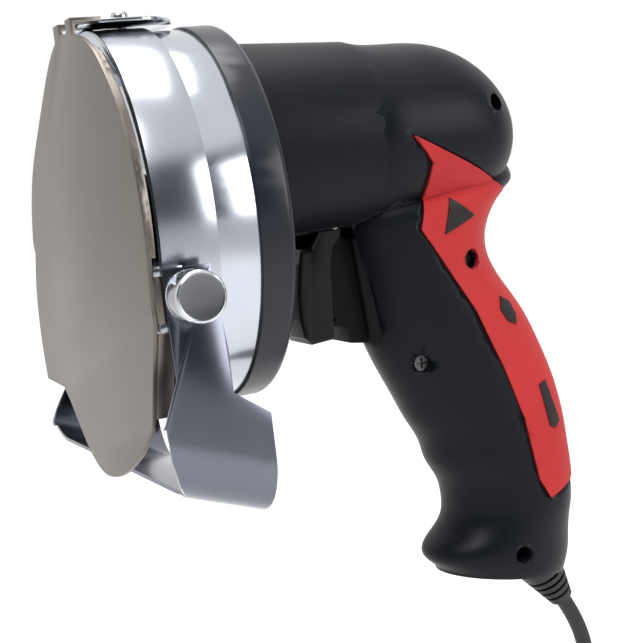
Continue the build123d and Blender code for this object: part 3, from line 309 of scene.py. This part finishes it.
def knob(node, side):
    """A clamp knob with a crossed knurl between two smooth collars and a dished polished face, the face's
    darker colour a painted dark reflection.
    """
    low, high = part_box(node)
    centre = Vector(((low.x + high.x) / 2, 0, (low.z + high.z) / 2))
    inner = low.y if side > 0 else high.y
    radius = (high.x - low.x) / 2
    length = high.y - low.y
    rows = [(0.0, radius - face_edge, 0), (0.0, radius - 0.0004, 0), (0.0004, radius, 0)]
    for step in range(knurl_rows + 1):
        rows.append((0.0007 + (length - 0.0018) * step / knurl_rows, radius - 0.00004, step % 2 + 1))
    rows += [(length - 0.0007, radius, 0), (length - 0.0002, radius - 0.0003, 0), (length, radius - 0.0007, 0)]
    rows += [(length - 0.00015, radius - face_edge, 0), (length - 0.0003, radius * 0.6, 0)]
    rows += [(length - 0.00035, radius * 0.25, 0)]
    points, faces = [], []
    for reach, ring, kind in rows:
        for i in range(knob_around):
            cut = ring - (knurl_depth if kind and (i + kind) % 2 else 0.0)
            angle = 2 * pi * i / knob_around
            points.append((centre.x + cut * cos(angle), inner + side * reach, centre.z + cut * sin(angle)))
    for row in range(len(rows) - 1):
        for i in range(knob_around):
            a, b = row * knob_around + i, row * knob_around + (i + 1) % knob_around
            quad = (a, b, b + knob_around, a + knob_around)
            faces.append(quad if side < 0 else quad[::-1])
    first = tuple(range(knob_around))
    last = tuple((len(rows) - 1) * knob_around + i for i in first)
    faces.append(first[::-1] if side < 0 else first)
    faces.append(last if side < 0 else last[::-1])
    mesh = bpy.data.meshes.new(f"{node}_knurled")
    mesh.from_pydata(points, [], faces)
    mesh.materials.append(knob_metal)
    mesh.materials.append(knob_face_painted_dark_reflection)
    piece = bpy.data.objects.new(f"{node}_knurled", mesh)
    bpy.context.collection.objects.link(piece)
    # The dished end face gets the darker metal, a painted dark reflection.
    for face in mesh.polygons:
        reach = abs(face.center.y - inner)
        off_axis = (face.center - centre).xz.length
        face.material_index = 1 if reach > length - 0.0004 and off_axis < radius - 0.0009 else 0
    bpy.ops.object.select_all(action="DESELECT")
    bpy.context.view_layer.objects.active = piece
    piece.select_set(True)
    bpy.ops.object.mode_set(mode="EDIT")
    bpy.ops.mesh.select_all(action="SELECT")
    bpy.ops.mesh.normals_make_consistent(inside=False)
    bpy.ops.object.mode_set(mode="OBJECT")
    bpy.ops.object.shade_smooth_by_angle(angle=radians(14))
    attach(piece, body_of_node[node])
    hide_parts(node)


knob("clamp_knob_left", -1)
knob("clamp_knob_right", 1)

# ------------------------------------------------------------------ mains lead, hank and plug
lead_r = 0.0028
laps = 5
fold_r = 0.018
pitch = 0.0059
hank_x = 0.0344
top_z = -0.1347
low_z = -0.2297
waist_z = (top_z + low_z) / 2
waist_x = 0.0054
route = [(0.0257, 0, -0.0708), (0.0310, 0, -0.0797), (hank_x, 0, -0.095), (hank_x, 0, -0.118)]
for lap in range(laps):
    y = lap * pitch
    if lap:
        route.append((hank_x - fold_r, y, top_z))
        route.append((hank_x - waist_x, y, waist_z + 0.010))
    route.append((hank_x - waist_x, y, waist_z - 0.010))
    if lap == laps - 1:
        break
    route.append((hank_x - fold_r, y, low_z))
    for step in range(1, 6):
        angle = radians(180 + 30 * step)
        route.append((hank_x + fold_r * cos(angle), y, low_z + fold_r * sin(angle)))
    for x, z in ((fold_r, low_z), (waist_x, waist_z - 0.010), (waist_x, waist_z + 0.010), (fold_r, top_z)):
        route.append((hank_x + x, y, z))
    for step in range(1, 6):
        angle = radians(30 * step)
        over = y + pitch * min(1, step / 3)
        route.append((hank_x + fold_r * cos(angle), over, top_z + fold_r * sin(angle)))
exit_y = (laps - 1) * pitch
route += [(hank_x, exit_y, low_z - 0.010), (hank_x, exit_y, -0.256), (hank_x, exit_y, -0.2824)]
line = bpy.data.curves.new("mains_lead", "CURVE")
line.dimensions = "3D"
spline = line.splines.new("NURBS")
spline.points.add(len(route) - 1)
for point, spot in zip(spline.points, route):
    point.co = (*spot, 1)
spline.order_u = 3
spline.use_endpoint_u = True
spline.resolution_u = 8
line.bevel_depth = lead_r
line.bevel_resolution = 5
line.use_fill_caps = True
line.materials.append(lead_rubber)
lead = bpy.data.objects.new("mains_lead", line)
bpy.context.collection.objects.link(lead)
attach(lead, "tool_body")
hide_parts("mains_cord", "cord_hank", "plug_lead")

# ------------------------------------------------------------------ studio
floor_z = -0.42
bpy.ops.mesh.primitive_plane_add(size=40, location=(0, 0, floor_z))
floor = bpy.context.object
floor.name = "studio_floor"
floor_finish = Finish("pale_floor", (0.86, 0.86, 0.86), 0.7)
floor_finish.tone(floor_finish.noise(3, 2.0), 0.01)
floor_finish.gloss(floor_finish.noise(5, 2.0), 0.05)
floor_finish.shader.inputs["Emission Color"].default_value = (1, 1, 1, 1)
floor_split = floor_finish.tree.nodes.new("ShaderNodeSeparateXYZ")
floor_finish.tree.links.new(floor_finish.coords.outputs["Object"], floor_split.inputs["Vector"])
far_glow = floor_finish.ranged(floor_split.outputs["Y"], 0.0, 0.35, 0.2, 0.8)
floor_finish.tree.links.new(far_glow, floor_finish.shader.inputs["Emission Strength"])
floor.data.materials.append(floor_finish.material)

world = bpy.data.worlds.new("studio")
bpy.context.scene.world = world
world.use_nodes = True
sky = world.node_tree
background = sky.nodes["Background"]
direction = sky.nodes.new("ShaderNodeTexCoord")
parts = sky.nodes.new("ShaderNodeSeparateXYZ")
sky.links.new(direction.outputs["Generated"], parts.inputs["Vector"])


def slope(value, start, end):
    """A soft step over a direction's part."""
    node = sky.nodes.new("ShaderNodeMapRange")
    node.interpolation_type = "SMOOTHSTEP"
    node.inputs["From Min"].default_value = start
    node.inputs["From Max"].default_value = end
    sky.links.new(value, node.inputs["Value"])
    return node.outputs["Result"]


behind = slope(parts.outputs["Y"], -0.20, 0.15)
above = slope(parts.outputs["Z"], 0.50, 0.62)
either = sky.nodes.new("ShaderNodeMath")
either.operation = "MAXIMUM"
sky.links.new(behind, either.inputs[0])
sky.links.new(above, either.inputs[1])
mix = sky.nodes.new("ShaderNodeMix")
mix.data_type = "RGBA"
dark_side = (0.085, 0.092, 0.108, 1)
bright_side = (1.0, 1.0, 1.0, 1)
mix.inputs["A"].default_value = dark_side
mix.inputs["B"].default_value = bright_side
sky.links.new(either.outputs["Value"], mix.inputs["Factor"])
sky.links.new(mix.outputs["Result"], background.inputs["Color"])
background.inputs["Strength"].default_value = 1.0


def softbox(name, spot, target, size, power):
    """A square area light aimed at a point."""
    bpy.ops.object.light_add(type="AREA", location=spot)
    lamp = bpy.context.object
    lamp.name = name
    lamp.data.energy = power
    lamp.data.size = size
    lamp.rotation_euler = (Vector(target) - Vector(spot)).to_track_quat("-Z", "Y").to_euler()


softbox("key_light", (-0.55, -0.75, 0.95), (-0.03, 0, 0.05), 0.5, 9)
softbox("fill_light", (0.75, -0.85, 0.35), (0, 0, 0.03), 0.6, 6)
softbox("top_light", (-0.05, 0.1, 1.1), (-0.05, 0, 0.05), 0.7, 8)

bpy.context.scene.view_settings.view_transform = "Standard"
bpy.context.scene.view_settings.look = "None"
